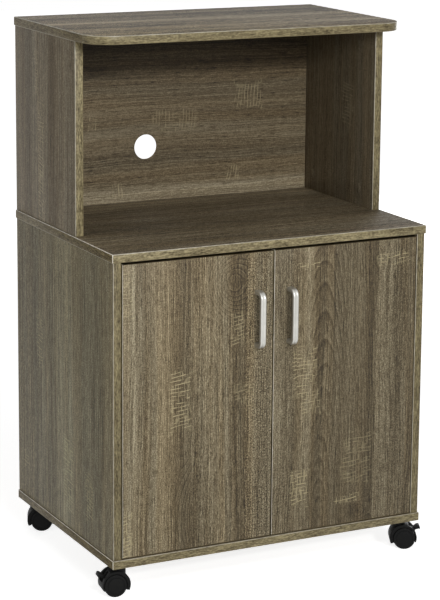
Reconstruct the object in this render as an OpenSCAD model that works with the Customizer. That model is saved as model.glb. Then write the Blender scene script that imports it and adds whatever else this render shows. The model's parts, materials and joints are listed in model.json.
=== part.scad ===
// Kitchen cart: an open hutch with a back panel over a two-door cabinet, on four twin-wheel casters.
// The origin lies on the floor, in the middle of the cart's outline. X runs to the right, Y to the
// back and Z up. Inside the modules Y is counted from the front edges of the cabinet's side panels.

/* [Boards] */
// Thickness of the boards and doors
board_t = 15; // [14.5:0.5:16]
// Width over the outsides of the side panels
body_w = 600; // [480:1:760]
// How far the boards stand out past the side panels
lip = 2; // [1:0.5:5]
// Height of the cabinet's side panels
cabinet_h = 514; // [440:1:640]
// Depth of the cabinet's side panels
cabinet_d = 430; // [380:1:520]

/* [Hutch] */
// Height of the hutch's side panels
hutch_h = 335; // [250:1:450]
// Depth of the hutch's side panels
hutch_d = 273; // [220:1:330]
// How far the top board stands out in front of the hutch's side panels
top_reach = 80; // [30:1:100]
// Radius of the top board's front corners
top_corner_r = 50; // [10:1:70]
// Diameter of the cable hole
cable_hole_d = 46; // [30:1:70]
// Place of the cable hole across the back panel, from its middle
cable_hole_x = -51; // [-120:1:120]
// Height of the cable hole's centre over the counter board
cable_hole_z = 101; // [50:1:180]

/* [Back panels] */
// Thickness of the back panels
back_t = 4; // [3:0.5:6]
// Distance from the boards' rear edges to the back panels
back_inset = 14; // [9:0.5:22]
// Depth of the grooves that hold the back panels
groove_deep = 5; // [3:0.5:7]
// Room on each side of a back panel in its grooves
groove_play = 0.2; // [0.1:0.05:0.4]

/* [Shelf] */
// Height of the shelf's underside over the bottom board
shelf_up = 250; // [200:1:300]
// Distance from the doors to the shelf's front edge
shelf_setback = 12; // [5:1:60]
// Play between the shelf and each side panel
shelf_play = 0.5; // [0.2:0.1:1]
// Diameter of the shelf pins
shelf_pin_d = 5; // [4:0.5:7]
// How far a shelf pin stands out of its side panel
shelf_pin_out = 7; // [5:0.5:12]
// Depth of the shelf pins' holes
shelf_pin_deep = 9; // [7:0.5:11]
// Spacing of the shelf's rows of pin holes
shelf_step = 32; // [20:1:40]

/* [Doors] */
// Gap between a door and its side panel
door_side_gap = 2; // [1.8:0.1:3]
// Gap between the two doors
door_mid_gap = 2.5; // [1.5:0.1:4]
// Gap between the doors and the counter board
door_top_gap = 4; // [1:0.1:6]
// Gap between the doors and the bottom board
door_low_gap = 2; // [1:0.1:4]

/* [Handles] */
// Distance between the centres of a handle's feet
handle_span = 92; // [64:1:160]
// Width of the handle's bar, across the door
handle_w = 10.7; // [8:0.1:14]
// Thickness of the handle's bar, front to back
handle_t = 8; // [7:0.1:10]
// Radius of the rounded edges along the bar
handle_round = 2.6; // [1:0.1:3.4]
// How far the handle stands out from the door
handle_out = 24.5; // [20:0.5:35]
// Radius of the bends, at the middle of the bar
handle_bend_r = 10; // [8:0.5:13]
// Distance from a door's free edge to the middle of its handle
handle_in = 30; // [20:1:60]
// Distance from a door's top edge to the middle of its handle
handle_down = 116; // [80:1:240]
// Diameter of the handle's screws
handle_screw_d = 4; // [3:0.5:5]
// Depth of the threaded holes in the handle's feet
handle_thread = 8; // [6:0.5:12]

/* [Hinges] */
// Distance from a door's ends to the middles of its hinges
hinge_end = 80; // [60:1:140]
// Opening angle of the doors, in degrees
door_open = 95; // [85:1:97]
// Distance from a door's hinged edge to the hinge pin
pivot_in = 14; // [13.5:0.1:15]
// Distance from a door's front face to the hinge pin
pivot_deep = 7; // [6.8:0.1:7.2]
// Diameter of a hinge cup
cup_d = 35; // [34:0.5:40]
// Width of the door's rim beside a hinge cup
cup_rim = 4; // [3.5:0.1:4.5]
// Wood left in front of a hinge cup
cup_skin = 3.5; // [3:0.1:3.6]
// Thickness of a hinge cup's wall and floor
cup_wall = 0.8; // [0.5:0.1:0.9]
// Thickness of a hinge cup's flange
flange_t = 1; // [0.6:0.1:1.2]
// Distance between the screws of a hinge cup
cup_screw_span = 48; // [46:1:56]
// Diameter of the hinge pins
hinge_pin_d = 2.5; // [2:0.1:2.8]
// Width of the hinge arms
arm_w = 12; // [9:0.5:13]
// Thickness of the hinge arms
arm_t = 2; // [1.5:0.1:2.4]
// Thickness of the hinges' mounting plates
plate_t = 3; // [2:0.1:4]
// Distance between the screws of a mounting plate
plate_screw_span = 32; // [28:1:40]
// Diameter of the screws that hold the arms on the mounting plates
arm_screw_d = 4; // [3:0.5:5]
// Distance from the side panels' front edges to the mounting plates' screws
plate_in = 37; // [35:1:45]

/* [Fixings] */
// Diameter of the cam locks
cam_d = 15; // [12:0.5:16]
// Thickness of the cam locks
cam_t = 12; // [10.5:0.1:12.5]
// Distance from a side panel's end to its cam locks
cam_up = 33; // [24:1:38]
// Diameter of the covers that are stuck over the cam locks
cover_d = 18; // [16.5:0.5:20]
// Thickness of the covers over the cam locks
cover_t = 0.6; // [0.4:0.1:0.9]
// Diameter of the cam bolts
bolt_d = 6; // [5:0.5:6.5]
// How deep the cam bolts are screwed into a board
bolt_grip = 11; // [8:0.5:12]
// Diameter of the wooden dowels
dowel_d = 8; // [6:0.5:9]
// Length of a dowel in the board
dowel_low = 10; // [6:0.5:12]
// Length of a dowel in the side panel
dowel_high = 20; // [14:0.5:30]
// Diameter of the wood screws
wood_screw_d = 3.5; // [3:0.1:4]
// Length of the hinges' wood screws in the wood
hinge_screw_deep = 11; // [8:0.5:12.5]
// Length of the casters' wood screws in the wood
caster_screw_deep = 9; // [7:0.5:9.5]

/* [Casters] */
// Height of the casters, from the floor to the bottom board
caster_h = 55; // [54:0.5:70]
// Distance from the boards' ends to the casters' stems
caster_in_x = 24; // [22:1:60]
// Distance from the boards' front and rear edges to the casters' stems
caster_in_y = 30; // [22:1:60]
// Size of the casters' square mounting plates
caster_plate_w = 38; // [36:1:42]
// Thickness of the casters' mounting plates
caster_plate_t = 2; // [1.5:0.1:3]
// Distance between the holes in a caster's mounting plate
caster_hole_span = 29; // [27:0.5:30]
// Diameter of the casters' stems
stem_d = 7; // [6:0.5:8]
// Distance from a caster's stem to its axle
trail = 9.5; // [8:0.5:12]
// Diameter of the wheels
wheel_d = 40; // [38:0.5:41]
// Width of a wheel
wheel_w = 11; // [8:0.5:14]
// Width of the web between a caster's two wheels
web_w = 12; // [11.5:0.5:15]
// Gap between a wheel and the web
web_gap = 0.5; // [0.3:0.1:1]
// Diameter of the axles
axle_d = 6; // [4:0.5:7]
// Least thickness of the hood over the wheels
hood_t = 1.9; // [1.5:0.1:3]
// Room between the wheels and the hood
hood_gap = 0.8; // [0.5:0.1:1.5]
// Diameter of the caster's neck
neck_d = 24; // [20:0.5:26]
// Width of the brake levers
lever_w = 16; // [12:1:22]
// Travel of the brake levers, in degrees
lever_travel = 10; // [6:1:10]
// Direction of each caster at rest, counted from +X, in degrees
front_left_turn = 172; // [-180:1:180]
front_right_turn = -26; // [-180:1:180]
rear_left_turn = -22; // [-180:1:180]
rear_right_turn = -20; // [-180:1:180]

/* [Clearances] */
// Radial room of a pin or shaft that turns in its hole
run_fit = 0.05; // [0.02:0.01:0.09]
// Radial room of a pin, screw or dowel that stays put in its hole
seat_fit = 0.05; // [0.02:0.01:0.09]
// Gap between surfaces that pass each other
pass_gap = 0.3; // [0.2:0.05:0.4]

/* [Hidden] */
$fn = 64;
cut = 1;                                  // how far a cut runs past the face it opens
wood = "#7d7059";
dark_wood = "#5d5342";
steel = "#b9b8b0";
nylon = "#1c1c1c";

// Levels of the boards and faces
floor_top = caster_h + board_t;           // top face of the bottom board
cabinet_top = floor_top + cabinet_h;      // underside of the counter board
counter_top = cabinet_top + board_t;      // top face of the counter board
hutch_top = counter_top + hutch_h;        // underside of the top board
side_in = body_w / 2 - board_t;           // inner face of a side panel, from the middle
panel_mid = body_w / 2 - board_t / 2;     // middle of a side panel's thickness
half_w = body_w / 2 + lip;                // half the width of the boards
hutch_y = cabinet_d - hutch_d;            // front edges of the hutch's side panels
back_y = cabinet_d - back_inset - back_t; // front faces of the back panels
mid_y = (cabinet_d - handle_out) / 2;     // middle of the cart's outline

// Places of the casters' stems
stem_x = half_w - caster_in_x;
stem_front_y = -lip + caster_in_y;
stem_back_y = cabinet_d - caster_in_y;

// Places of the fixings along the depth
first_bolt_y = stem_front_y + caster_hole_span / 2 + 14;
last_bolt_y = stem_back_y - caster_hole_span / 2 - 15.5;
cabinet_bolts_y = [first_bolt_y, last_bolt_y];
cabinet_dowels_y = [first_bolt_y + 30, last_bolt_y - 34];
hutch_bolts_y = [hutch_y + 52, back_y - 29];
hutch_dowels_y = [hutch_y + 20, back_y - 61];
shelf_pins_y = [70, back_y - 42];

// Doors
door_w = side_in - door_side_gap - door_mid_gap / 2;
door_h = cabinet_h - door_top_gap - door_low_gap;
door_z = floor_top + door_low_gap;
hinges_z = [door_z + hinge_end, door_z + door_h - hinge_end];
handle_x = door_mid_gap / 2 + handle_in;
handle_z = door_z + door_h - handle_down;

// Hinges, counted from the hinge pin; X points into the door and Y to the back
pivot_x = side_in - door_side_gap - pivot_in;
wall_x = -(pivot_in + door_side_gap);     // the side panel's inner face
door_back = board_t - pivot_deep;         // the door's back face
cup_r = cup_d / 2;
cup_x = cup_rim + cup_r - pivot_in;       // middle of the cup
mouth_x = cup_x - cup_r + cup_wall;       // edge of the cup's mouth beside the rim
flange_y = door_back + flange_t;
rim_sweep = norm([pivot_in, door_back]);  // radius that the door's rim sweeps
arc_r = rim_sweep + 2 * pass_gap;         // inner radius of the arm's bow
cross_a = atan2(flange_y, mouth_x) - door_open - 10;
arc_end = 105;
base_x = wall_x + plate_t + arm_t / 2;    // middle of the arm's foot on its plate
base_y = plate_in - pivot_deep - 3;       // where the arm's foot starts
base_len = 26;
arm_screw_y = base_y + 16;
arc_steps = 12;
arm_path = concat(
    [[0, 0]],
    [for (i = [0:arc_steps]) (arc_r + arm_t / 2) * along(cross_a + i * (arc_end - cross_a) / arc_steps)],
    [[base_x, base_y], [base_x, base_y + base_len]]
);
path_end = len(arm_path) - 1;
arm_outline = concat(
    [for (i = [0:path_end]) path_side(i, arm_t / 2)],
    [for (i = [path_end:-1:0]) path_side(i, -arm_t / 2)]
);
knuckle_r = pivot_deep - cup_skin - cup_wall - pass_gap;
cup_h = board_t - cup_skin;               // height of the cup in the door
lug_t = 2.5;                              // thickness of the lugs that hold the hinge pin
pin_half = arm_w / 2 + pass_gap + lug_t;

// Handles: the outer face of the bar lies at handle_out
bar_y = handle_out - handle_t / 2;        // middle of the bar, from the door
leg_len = bar_y - handle_bend_r;

// Casters, counted from the stem; X points along the trail
wheel_r = wheel_d / 2;
plate_low = caster_h - caster_plate_t;
neck_top = plate_low - pass_gap;
stem_low = 28;
hood_in_r = wheel_r + hood_gap;
hood_r = hood_in_r + hood_t + 1.9;        // the hood's circle lies off the wheels' centre
hood_x = trail - 1.9;
hood_z = wheel_r + 1;
hood_w = web_w + 2 * web_gap + 2 * wheel_w - 2;
wheel_y = web_w / 2 + web_gap;            // inner face of a wheel
axle_half = wheel_y + wheel_w - 3;
lever_pivot = [trail + 7.5, wheel_r + 15];
lever_pin_d = 3;
lever_root_w = 6;
lever_root_r = 3.2;
slot_w = lever_root_w + 2 * pass_gap;
slot_low = lever_pivot[1] - 4.4 - 10 * sin(lever_travel);
window_low = lever_pivot[1] - 6.7 - 16 * sin(lever_travel);

function along(angle) = [cos(angle), sin(angle)];

// Left-hand normal of the stretch of the arm's path that starts at point i
function path_normal(i) = let (run = arm_path[i + 1] - arm_path[i]) [-run[1], run[0]] / norm(run);

// The point beside point i of the arm's path, at the distance d to its left
function path_side(i, d) = let (
    before = path_normal(max(i - 1, 0)),
    after = path_normal(min(i, path_end - 1))
) arm_path[i] + d * (before + after) / (1 + before * after);

// Puts the cart's outline in the middle of the frame
module frame() {
    translate([0, -mid_y, 0]) children();
}

// side is -1 for the left half of the cart and 1 for the right half
module on_side(side) {
    mirror([side < 0 ? 1 : 0, 0, 0]) children();
}

// A fixing between a side panel and a board: the origin is on the board's face, +Z points into the panel
module at_fixing(side, y, z, up) {
    on_side(side) translate([panel_mid, y, z]) mirror([0, 0, up < 0 ? 1 : 0]) children();
}

module at_each(sides, ys, z, up) {
    for (side = sides) for (y = ys) at_fixing(side, y, z, up) children();
}

// Places of all fixings; children(0) goes to the bolts and children(1) to the dowels
module at_joint(sides, z, up, bolts_y, dowels_y) {
    at_each(sides, bolts_y, z, up) children(0);
    at_each(sides, dowels_y, z, up) children(1);
}

module floor_joint(sides) {
    at_joint(sides, floor_top, 1, cabinet_bolts_y, cabinet_dowels_y) {
        children(0);
        children(1);
    }
}

module cabinet_joint(sides) {
    at_joint(sides, cabinet_top, -1, cabinet_bolts_y, cabinet_dowels_y) {
        children(0);
        children(1);
    }
}

module counter_joint(sides) {
    at_joint(sides, counter_top, 1, hutch_bolts_y, hutch_dowels_y) {
        children(0);
        children(1);
    }
}

module hutch_joint(sides) {
    at_joint(sides, hutch_top, -1, hutch_bolts_y, hutch_dowels_y) {
        children(0);
        children(1);
    }
}

// Holes in a board's face
module bolt_hole() {
    translate([0, 0, -bolt_grip - pass_gap])
        cylinder(d = bolt_d + 2 * seat_fit, h = bolt_grip + pass_gap + cut);
}

module dowel_hole() {
    translate([0, 0, -dowel_low - pass_gap])
        cylinder(d = dowel_d + 2 * seat_fit, h = dowel_low + pass_gap + cut);
}

// Holes in a side panel: the cam lock's pocket with the bolt's bore, and the dowel's bore
module cam_pocket() {
    translate([-board_t / 2 - cut, 0, cam_up]) rotate([0, 90, 0])
        cylinder(d = cam_d + 2 * seat_fit, h = cam_t + cut + pass_gap);
    translate([0, 0, -cut]) cylinder(d = bolt_d + 2 * pass_gap, h = cam_up + cut);
}

module dowel_bore() {
    translate([0, 0, -cut]) cylinder(d = dowel_d + 2 * seat_fit, h = dowel_high + pass_gap + cut);
}

module cam_lock() {
    difference() {
        translate([-board_t / 2, 0, cam_up]) rotate([0, 90, 0]) cylinder(d = cam_d, h = cam_t);
        cylinder(d = bolt_d + 2 * pass_gap, h = cam_up + bolt_d / 2 + pass_gap);
        translate([-board_t / 2 - cut, -cam_d / 3, cam_up - 0.7]) cube([cut + 1.5, 2 * cam_d / 3, 1.4]);
        translate([-board_t / 2 - cut, -0.7, cam_up - cam_d / 3]) cube([cut + 1.5, 1.4, 2 * cam_d / 3]);
    }
}

// A cover with the boards' print, stuck on the panel's inner face
module cam_cover() {
    translate([-board_t / 2 - cover_t, 0, cam_up]) rotate([0, 90, 0]) cylinder(d = cover_d, h = cover_t);
}

module cam_bolt() {
    translate([0, 0, -bolt_grip]) cylinder(d = bolt_d, h = bolt_grip + cam_up - cam_d / 2);
    cylinder(d = bolt_d / 2, h = cam_up);
    translate([0, 0, cam_up - bolt_d / 2]) cylinder(d = bolt_d, h = bolt_d);
}

module dowel() {
    translate([0, 0, -dowel_low]) cylinder(d = dowel_d, h = dowel_low + dowel_high);
}

// A wood screw's hole and the screw: the origin is on the wood's face, +Z points out of the wood
module pilot_hole(deep) {
    translate([0, 0, -deep - pass_gap]) cylinder(d = wood_screw_d + 2 * seat_fit, h = deep + pass_gap + cut);
}

module wood_screw(deep, plate) {
    translate([0, 0, -deep]) cylinder(d = wood_screw_d, h = deep + plate);
    translate([0, 0, plate]) difference() {
        cylinder(d = 2 * wood_screw_d, h = wood_screw_d / 2);
        translate([0, 0, wood_screw_d / 4]) cylinder(d = wood_screw_d * 0.8, h = wood_screw_d, $fn = 4);
    }
}

// The part of a groove that lies in a side panel
module side_groove(z, h) {
    translate([side_in - cut, back_y - groove_play, z])
        cube([cut + groove_deep + groove_play, back_t + 2 * groove_play, h]);
}

// A groove across a board, from side panel to side panel; z is its lower face
module board_groove(z, h) {
    half = side_in + groove_deep + groove_play;
    translate([-half, back_y - groove_play, z]) cube([2 * half, back_t + 2 * groove_play, h]);
}

module board(y, d, z) {
    translate([-half_w, y, z]) cube([2 * half_w, d, board_t]);
}

module top_board() color(wood) frame() {
    front = hutch_y - top_reach;
    depth = cabinet_d - front;
    difference() {
        union() {
            translate([-half_w, front + top_corner_r, hutch_top])
                cube([2 * half_w, depth - top_corner_r, board_t]);
            translate([-half_w + top_corner_r, front, hutch_top])
                cube([2 * (half_w - top_corner_r), top_corner_r + cut, board_t]);
            for (side = [-1, 1])
                translate([side * (half_w - top_corner_r), front + top_corner_r, hutch_top])
                    cylinder(r = top_corner_r, h = board_t);
        }
        board_groove(hutch_top - cut, cut + groove_deep + groove_play);
        hutch_joint([-1, 1]) {
            bolt_hole();
            dowel_hole();
        }
    }
}

module counter_board() color(wood) frame() {
    difference() {
        board(-lip, cabinet_d + lip, cabinet_top);
        board_groove(cabinet_top - cut, cut + groove_deep + groove_play);
        cabinet_joint([-1, 1]) {
            bolt_hole();
            dowel_hole();
        }
        counter_joint([-1, 1]) {
            bolt_hole();
            dowel_hole();
        }
    }
}

module bottom_board() color(wood) frame() {
    difference() {
        board(-lip, cabinet_d + lip, caster_h);
        board_groove(floor_top - groove_deep - groove_play, cut + groove_deep + groove_play);
        floor_joint([-1, 1]) {
            bolt_hole();
            dowel_hole();
        }
        at_caster_screws() pilot_hole(caster_screw_deep);
    }
}

module hutch_side(side) color(wood) frame() {
    difference() {
        on_side(side) translate([side_in, hutch_y, counter_top]) cube([board_t, hutch_d, hutch_h]);
        on_side(side) side_groove(counter_top - cut, hutch_h + 2 * cut);
        counter_joint([side]) {
            cam_pocket();
            dowel_bore();
        }
        hutch_joint([side]) {
            cam_pocket();
            dowel_bore();
        }
    }
}

module cabinet_side(side) color(wood) frame() {
    difference() {
        on_side(side) translate([side_in, 0, floor_top]) cube([board_t, cabinet_d, cabinet_h]);
        on_side(side) side_groove(floor_top - cut, cabinet_h + 2 * cut);
        floor_joint([side]) {
            cam_pocket();
            dowel_bore();
        }
        cabinet_joint([side]) {
            cam_pocket();
            dowel_bore();
        }
        at_plate_screws(side) pilot_hole(hinge_screw_deep);
        at_shelf_pins([side], [-1, 0, 1]) shelf_pin_hole();
    }
}

module hutch_back_panel() color(dark_wood) frame() {
    half = side_in + groove_deep;
    difference() {
        translate([-half, back_y, counter_top]) cube([2 * half, back_t, hutch_h + groove_deep]);
        translate([cable_hole_x, back_y - cut, counter_top + cable_hole_z]) rotate([-90, 0, 0])
            cylinder(d = cable_hole_d, h = back_t + 2 * cut);
    }
}

module cabinet_back_panel() color(dark_wood) frame() {
    half = side_in + groove_deep;
    translate([-half, back_y, floor_top - groove_deep]) cube([2 * half, back_t, cabinet_h + 2 * groove_deep]);
}

module cabinet_shelf() color(wood) frame() {
    half = side_in - shelf_play;
    front = board_t + shelf_setback;
    translate([-half, front, floor_top + shelf_up]) cube([2 * half, back_y - pass_gap - front, board_t]);
}

// The origin is on the side panel's inner face, +X points into the panel
module at_shelf_pins(sides, rows) {
    for (side = sides) for (y = shelf_pins_y) for (row = rows)
        on_side(side) translate([side_in, y, floor_top + shelf_up - shelf_pin_d / 2 + row * shelf_step])
            rotate([0, 90, 0]) children();
}

module shelf_pin_hole() {
    translate([0, 0, -cut]) cylinder(d = shelf_pin_d + 2 * seat_fit, h = cut + shelf_pin_deep + pass_gap);
}

module shelf_pins() color(steel) frame() {
    at_shelf_pins([-1, 1], [0]) {
        translate([0, 0, -shelf_pin_out]) cylinder(d = shelf_pin_d, h = shelf_pin_out + shelf_pin_deep);
    }
}

module all_joints() {
    floor_joint([-1, 1]) {
        children(0);
        children(1);
    }
    cabinet_joint([-1, 1]) {
        children(0);
        children(1);
    }
    counter_joint([-1, 1]) {
        children(0);
        children(1);
    }
    hutch_joint([-1, 1]) {
        children(0);
        children(1);
    }
}

module nothing() {
}

module cam_locks() color(steel) frame() {
    all_joints() {
        cam_lock();
        nothing();
    }
}

module cam_covers() color(wood) frame() {
    all_joints() {
        cam_cover();
        nothing();
    }
}

module cam_bolts() color(steel) frame() {
    all_joints() {
        cam_bolt();
        nothing();
    }
}

module wood_dowels() color("#c8a878") frame() {
    all_joints() {
        nothing();
        dowel();
    }
}

// The hinges' own frame: the origin is on the hinge pin, X points into the door
module at_hinges(side) {
    for (z = hinges_z) on_side(side) translate([pivot_x, pivot_deep, z]) mirror([1, 0, 0]) children();
}

// The origin is on the side panel's inner face, +Z points out of the wood
module at_plate_screws(side) {
    at_hinges(side) for (up = [-1, 1])
        translate([wall_x, plate_in - pivot_deep, up * plate_screw_span / 2]) rotate([0, 90, 0]) children();
}

module hinge_plate() {
    wing_z = plate_screw_span / 2 + 6;
    difference() {
        union() {
            translate([wall_x, base_y - 8, -8]) cube([plate_t, base_len + 8, 16]);
            translate([wall_x, plate_in - pivot_deep - 6, -wing_z]) cube([plate_t, 12, 2 * wing_z]);
        }
        for (up = [-1, 1])
            translate([wall_x - cut, plate_in - pivot_deep, up * plate_screw_span / 2]) rotate([0, 90, 0])
                cylinder(d = wood_screw_d + 2 * seat_fit, h = plate_t + 2 * cut);
        translate([wall_x + 0.5, arm_screw_y, 0]) rotate([0, 90, 0])
            cylinder(d = arm_screw_d + 2 * seat_fit, h = plate_t + cut);
    }
}

module hinge_plates(side) color(steel) frame() {
    at_hinges(side) hinge_plate();
}

module hinge_arm() {
    difference() {
        union() {
            translate([0, 0, -arm_w / 2]) cylinder(r = knuckle_r, h = arm_w);
            translate([0, 0, -arm_w / 2]) linear_extrude(arm_w) polygon(arm_outline);
        }
        translate([0, 0, -arm_w]) cylinder(d = hinge_pin_d + 2 * run_fit, h = 2 * arm_w);
        translate([base_x - arm_t, arm_screw_y, 0]) rotate([0, 90, 0])
            cylinder(d = arm_screw_d + 2 * seat_fit, h = 2 * arm_t);
    }
}

module hinge_arms(side) color(steel) frame() {
    at_hinges(side) hinge_arm();
}

module hinge_plate_screws() color(steel) frame() {
    for (side = [-1, 1]) at_plate_screws(side) wood_screw(hinge_screw_deep, plate_t);
}

module hinge_arm_screws() color(steel) frame() {
    thread = plate_t + arm_t - 0.5 - pass_gap;
    for (side = [-1, 1]) at_hinges(side)
        translate([wall_x + plate_t + arm_t - thread, arm_screw_y, 0]) rotate([0, 90, 0]) {
            cylinder(d = arm_screw_d, h = thread);
            translate([0, 0, thread]) cylinder(d = 1.8 * arm_screw_d, h = 2);
        }
}

module hinge_cup() {
    floor_y = cup_skin - pivot_deep;
    lug_half = hinge_pin_d / 2 + 1.5;
    difference() {
        union() {
            translate([cup_x, floor_y, 0]) rotate([-90, 0, 0]) cylinder(r = cup_r, h = cup_h);
            translate([cup_x, door_back, 0]) rotate([-90, 0, 0]) cylinder(r = cup_r + 1.5, h = flange_t);
            translate([cup_x - 6, door_back, -cup_screw_span / 2 - 5])
                cube([12, flange_t, cup_screw_span + 10]);
        }
        difference() {
            translate([cup_x, floor_y + cup_wall, 0]) rotate([-90, 0, 0])
                cylinder(r = cup_r - cup_wall, h = cup_h + flange_t);
            for (up = [-1, 1])
                translate([-lug_half, floor_y, up * (pin_half - lug_t / 2) - lug_t / 2])
                    cube([2 * lug_half, lug_half - floor_y, lug_t]);
        }
        translate([0, 0, -pin_half - cut]) cylinder(d = hinge_pin_d + 2 * seat_fit, h = 2 * (pin_half + cut));
        for (up = [-1, 1])
            translate([cup_x, door_back - cut, up * cup_screw_span / 2]) rotate([-90, 0, 0])
                cylinder(d = wood_screw_d + 2 * seat_fit, h = flange_t + 2 * cut);
    }
}

module hinge_cups(side) color(steel) frame() {
    at_hinges(side) hinge_cup();
}

module hinge_pins(side) color(steel) frame() {
    at_hinges(side) translate([0, 0, -pin_half]) cylinder(d = hinge_pin_d, h = 2 * pin_half);
}

// The origin is on the door's back face, +Z points out of the wood
module at_cup_screws(side) {
    at_hinges(side) for (up = [-1, 1])
        translate([cup_x, door_back, up * cup_screw_span / 2]) rotate([-90, 0, 0]) children();
}

module cup_screws(side) color(steel) frame() {
    at_cup_screws(side) wood_screw(hinge_screw_deep, flange_t);
}

// The centres of a handle's two feet on the door's front face; +Z points out of the door
module at_handle_feet(side) {
    for (up = [-1, 1])
        on_side(side) translate([handle_x, 0, handle_z + up * handle_span / 2]) rotate([90, 0, 0]) children();
}

module door(side) color(wood) frame() {
    difference() {
        on_side(side) translate([door_mid_gap / 2, 0, door_z]) cube([door_w, board_t, door_h]);
        at_hinges(side) translate([cup_x, cup_skin - pivot_deep - pass_gap / 3, 0]) rotate([-90, 0, 0])
            cylinder(r = cup_r + seat_fit, h = cup_h + cut);
        at_cup_screws(side) pilot_hole(hinge_screw_deep);
        at_handle_feet(side) translate([0, 0, -board_t - cut])
            cylinder(d = handle_screw_d + 2 * seat_fit, h = board_t + 2 * cut);
    }
}

// Section of the handle's bar: X lies across its thickness, Y across its width
module bar_section() {
    square([handle_t - 2 * handle_round, handle_w], center = true);
    square([handle_t, handle_w - 2 * handle_round], center = true);
    for (x = [-1, 1]) for (y = [-1, 1])
        translate([x * (handle_t / 2 - handle_round), y * (handle_w / 2 - handle_round)])
            circle(r = handle_round, $fn = 32);
}

module handle(side) color(steel) frame() {
    half = handle_span / 2;
    grip = handle_span - 2 * handle_bend_r;
    on_side(side) translate([handle_x, 0, handle_z]) difference() {
        union() {
            translate([0, -bar_y, -grip / 2]) rotate([0, 0, 90]) linear_extrude(grip) bar_section();
            for (up = [-1, 1]) {
                translate([0, 0, up * half]) rotate([90, 0, 0]) rotate([0, 0, 90])
                    linear_extrude(leg_len) bar_section();
                mirror([0, 0, up < 0 ? 1 : 0]) translate([0, -leg_len, half - handle_bend_r])
                    rotate([90, 0, -90]) rotate_extrude(angle = 90)
                        translate([handle_bend_r, 0]) bar_section();
            }
        }
        for (up = [-1, 1])
            translate([0, cut, up * half]) rotate([90, 0, 0])
                cylinder(d = handle_screw_d + 2 * seat_fit, h = handle_thread + pass_gap + cut);
    }
}

module handle_screws(side) color(steel) frame() {
    at_handle_feet(side) {
        translate([0, 0, -board_t]) cylinder(d = handle_screw_d, h = board_t + handle_thread);
        translate([0, 0, -board_t - 2.5]) cylinder(d = 2 * handle_screw_d, h = 2.5);
    }
}

// Casters: [side, row, turn], where row is 0 at the front and 1 at the back
FL = [-1, 0, front_left_turn];
FR = [1, 0, front_right_turn];
RL = [-1, 1, rear_left_turn];
RR = [1, 1, rear_right_turn];

module at_stem(caster) {
    y = caster[1] == 0 ? stem_front_y : stem_back_y;
    translate([caster[0] * stem_x, y, 0]) children();
}

module at_caster(caster) {
    frame() at_stem(caster) rotate([0, 0, caster[2]]) children();
}

// The holes of the casters' plates on the bottom board's underside; +Z points down, out of the wood
module at_caster_screws() {
    for (caster = [FL, FR, RL, RR]) at_stem(caster) for (x = [-1, 1]) for (y = [-1, 1])
        translate([x * caster_hole_span / 2, y * caster_hole_span / 2, caster_h]) rotate([180, 0, 0])
            children();
}

module caster_screws() color(steel) frame() {
    at_caster_screws() wood_screw(caster_screw_deep, caster_plate_t);
}

// The mounting plate with its riveted stem stays square to the cart
module caster_plate(caster) color("#3a3a3a") frame() at_stem(caster) {
    difference() {
        translate([-caster_plate_w / 2, -caster_plate_w / 2, plate_low])
            cube([caster_plate_w, caster_plate_w, caster_plate_t]);
        for (x = [-1, 1]) for (y = [-1, 1])
            translate([x * caster_hole_span / 2, y * caster_hole_span / 2, plate_low - cut])
                cylinder(d = wood_screw_d + 2 * seat_fit, h = caster_plate_t + 2 * cut);
    }
    translate([0, 0, stem_low + pass_gap]) cylinder(d = stem_d, h = plate_low - stem_low - pass_gap);
}

// A cylinder along the axle's direction, centred on the web; at is its [x, z]
module across(at, r, w) {
    translate([at[0], w / 2, at[1]]) rotate([90, 0, 0]) cylinder(r = r, h = w);
}

// The outline of the hood: it ends in a point behind and in a lip in front
module hood_mask() {
    translate([0, hood_w, 0]) rotate([90, 0, 0]) linear_extrude(2 * hood_w)
        polygon([
            [trail - 60, wheel_r + 60], [trail - 60, wheel_r - 18], [trail - 18, wheel_r - 8],
            [trail, wheel_r + 8], [trail + 18, wheel_r - 7], [trail + 60, wheel_r - 7],
            [trail + 60, wheel_r + 60]
        ]);
}

module hood() {
    intersection() {
        difference() {
            across([hood_x, hood_z], hood_r, hood_w);
            across([trail, wheel_r], hood_in_r, hood_w + 2 * cut);
        }
        hood_mask();
    }
}

// The window through which the brake lever comes out of the hood
module lever_window(w) {
    translate([0, w / 2, 0]) rotate([90, 0, 0]) linear_extrude(w)
        polygon([
            [trail + 8.5, wheel_r + 30], [trail + 8.5, wheel_r + 22], [trail + 15, wheel_r + 14.5],
            [trail + 17, window_low], [trail + 40, window_low], [trail + 40, wheel_r + 30]
        ]);
}

// The slot in the web for the brake lever's root
module lever_slot() {
    translate([0, slot_w / 2, 0]) rotate([90, 0, 0]) linear_extrude(slot_w)
        polygon([
            [trail + 2.5, wheel_r + 20], [trail + 2.5, wheel_r + 13], [trail + 7.5, slot_low],
            [trail + 17, slot_low], [trail + 17, window_low], [trail + 40, window_low],
            [trail + 40, wheel_r + 30], [trail + 8.5, wheel_r + 30], [trail + 8.5, wheel_r + 20]
        ]);
}

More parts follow.
